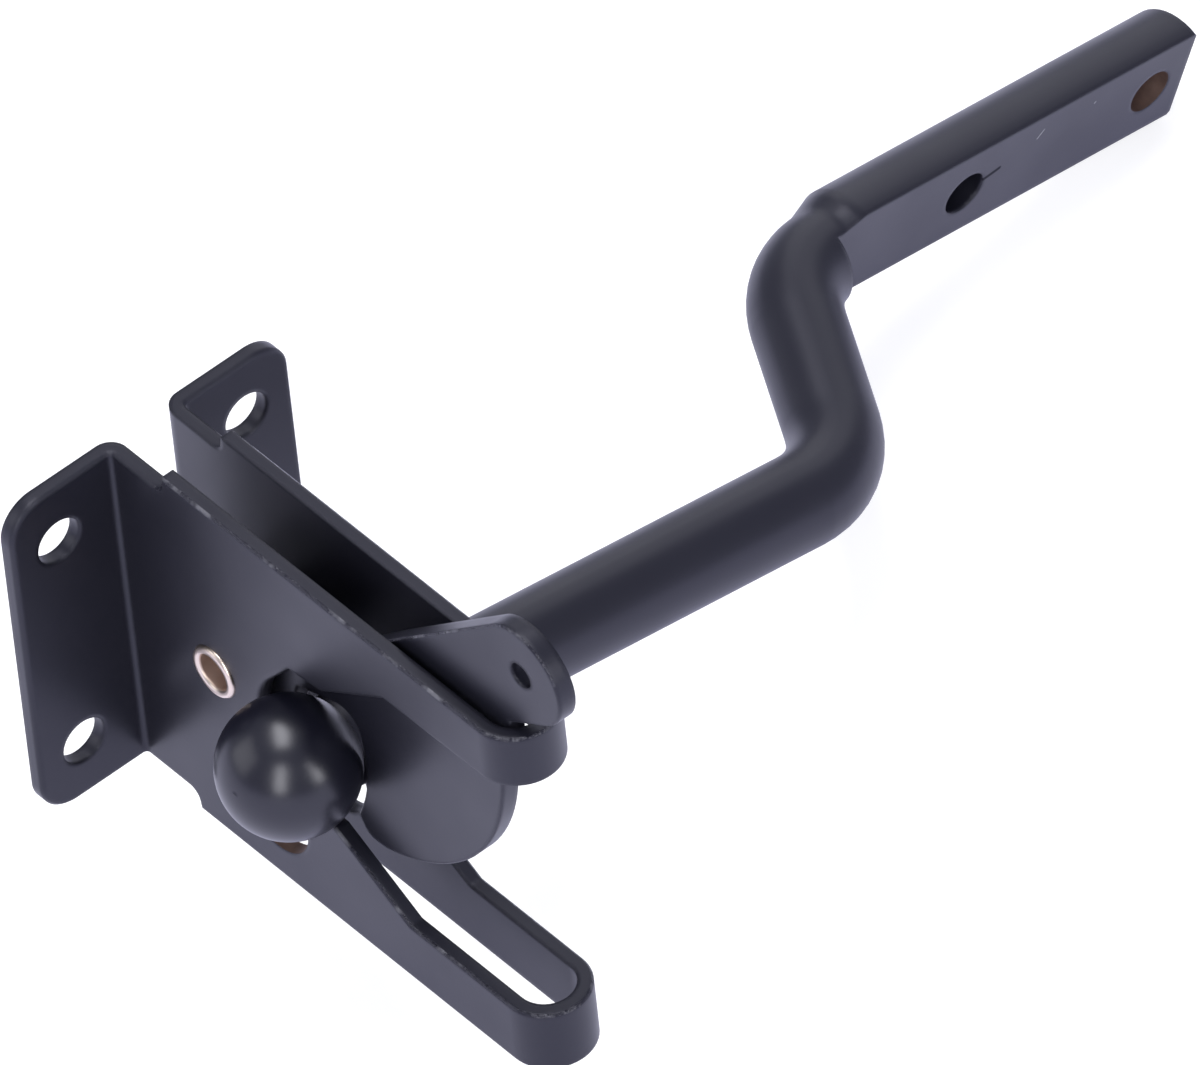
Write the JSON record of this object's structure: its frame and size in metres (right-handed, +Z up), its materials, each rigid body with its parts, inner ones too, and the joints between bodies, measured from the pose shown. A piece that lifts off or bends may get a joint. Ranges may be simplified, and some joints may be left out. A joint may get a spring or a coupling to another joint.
{
  "type": "gate latch",
  "caption": "Black gravity gate latch: a folded steel bracket with a swinging thumb pawl that drops in front of a bent round strike bar with a ball end.",
  "frame": {"origin": "middle of the four screw holes, on the back face of the flanges, where the latch meets the post", "axes": "+X straight out from the post, +Y across it towards the gate, +Z up"},
  "size_m": [0.0956, 0.1882, 0.0908],
  "materials": {
    "black_coat": "satin powder coat",
    "ball_plastic": "satin gloss",
    "nickel": "plated, slightly dull"
  },
  "bodies": {
    "bracket": {"bracket": "black_coat", "rivet": "nickel", "strike_bar": "black_coat", "ball": "ball_plastic"},
    "pawl": {"pawl": "black_coat"}
  },
  "joints": [
    {"name": "pawl_lift", "type": "hinge", "parent": "bracket", "child": "pawl", "pos_m": [0.018, 0, 0], "axis": [0, -1, 0], "range_deg": [0, 60]}
  ]
}
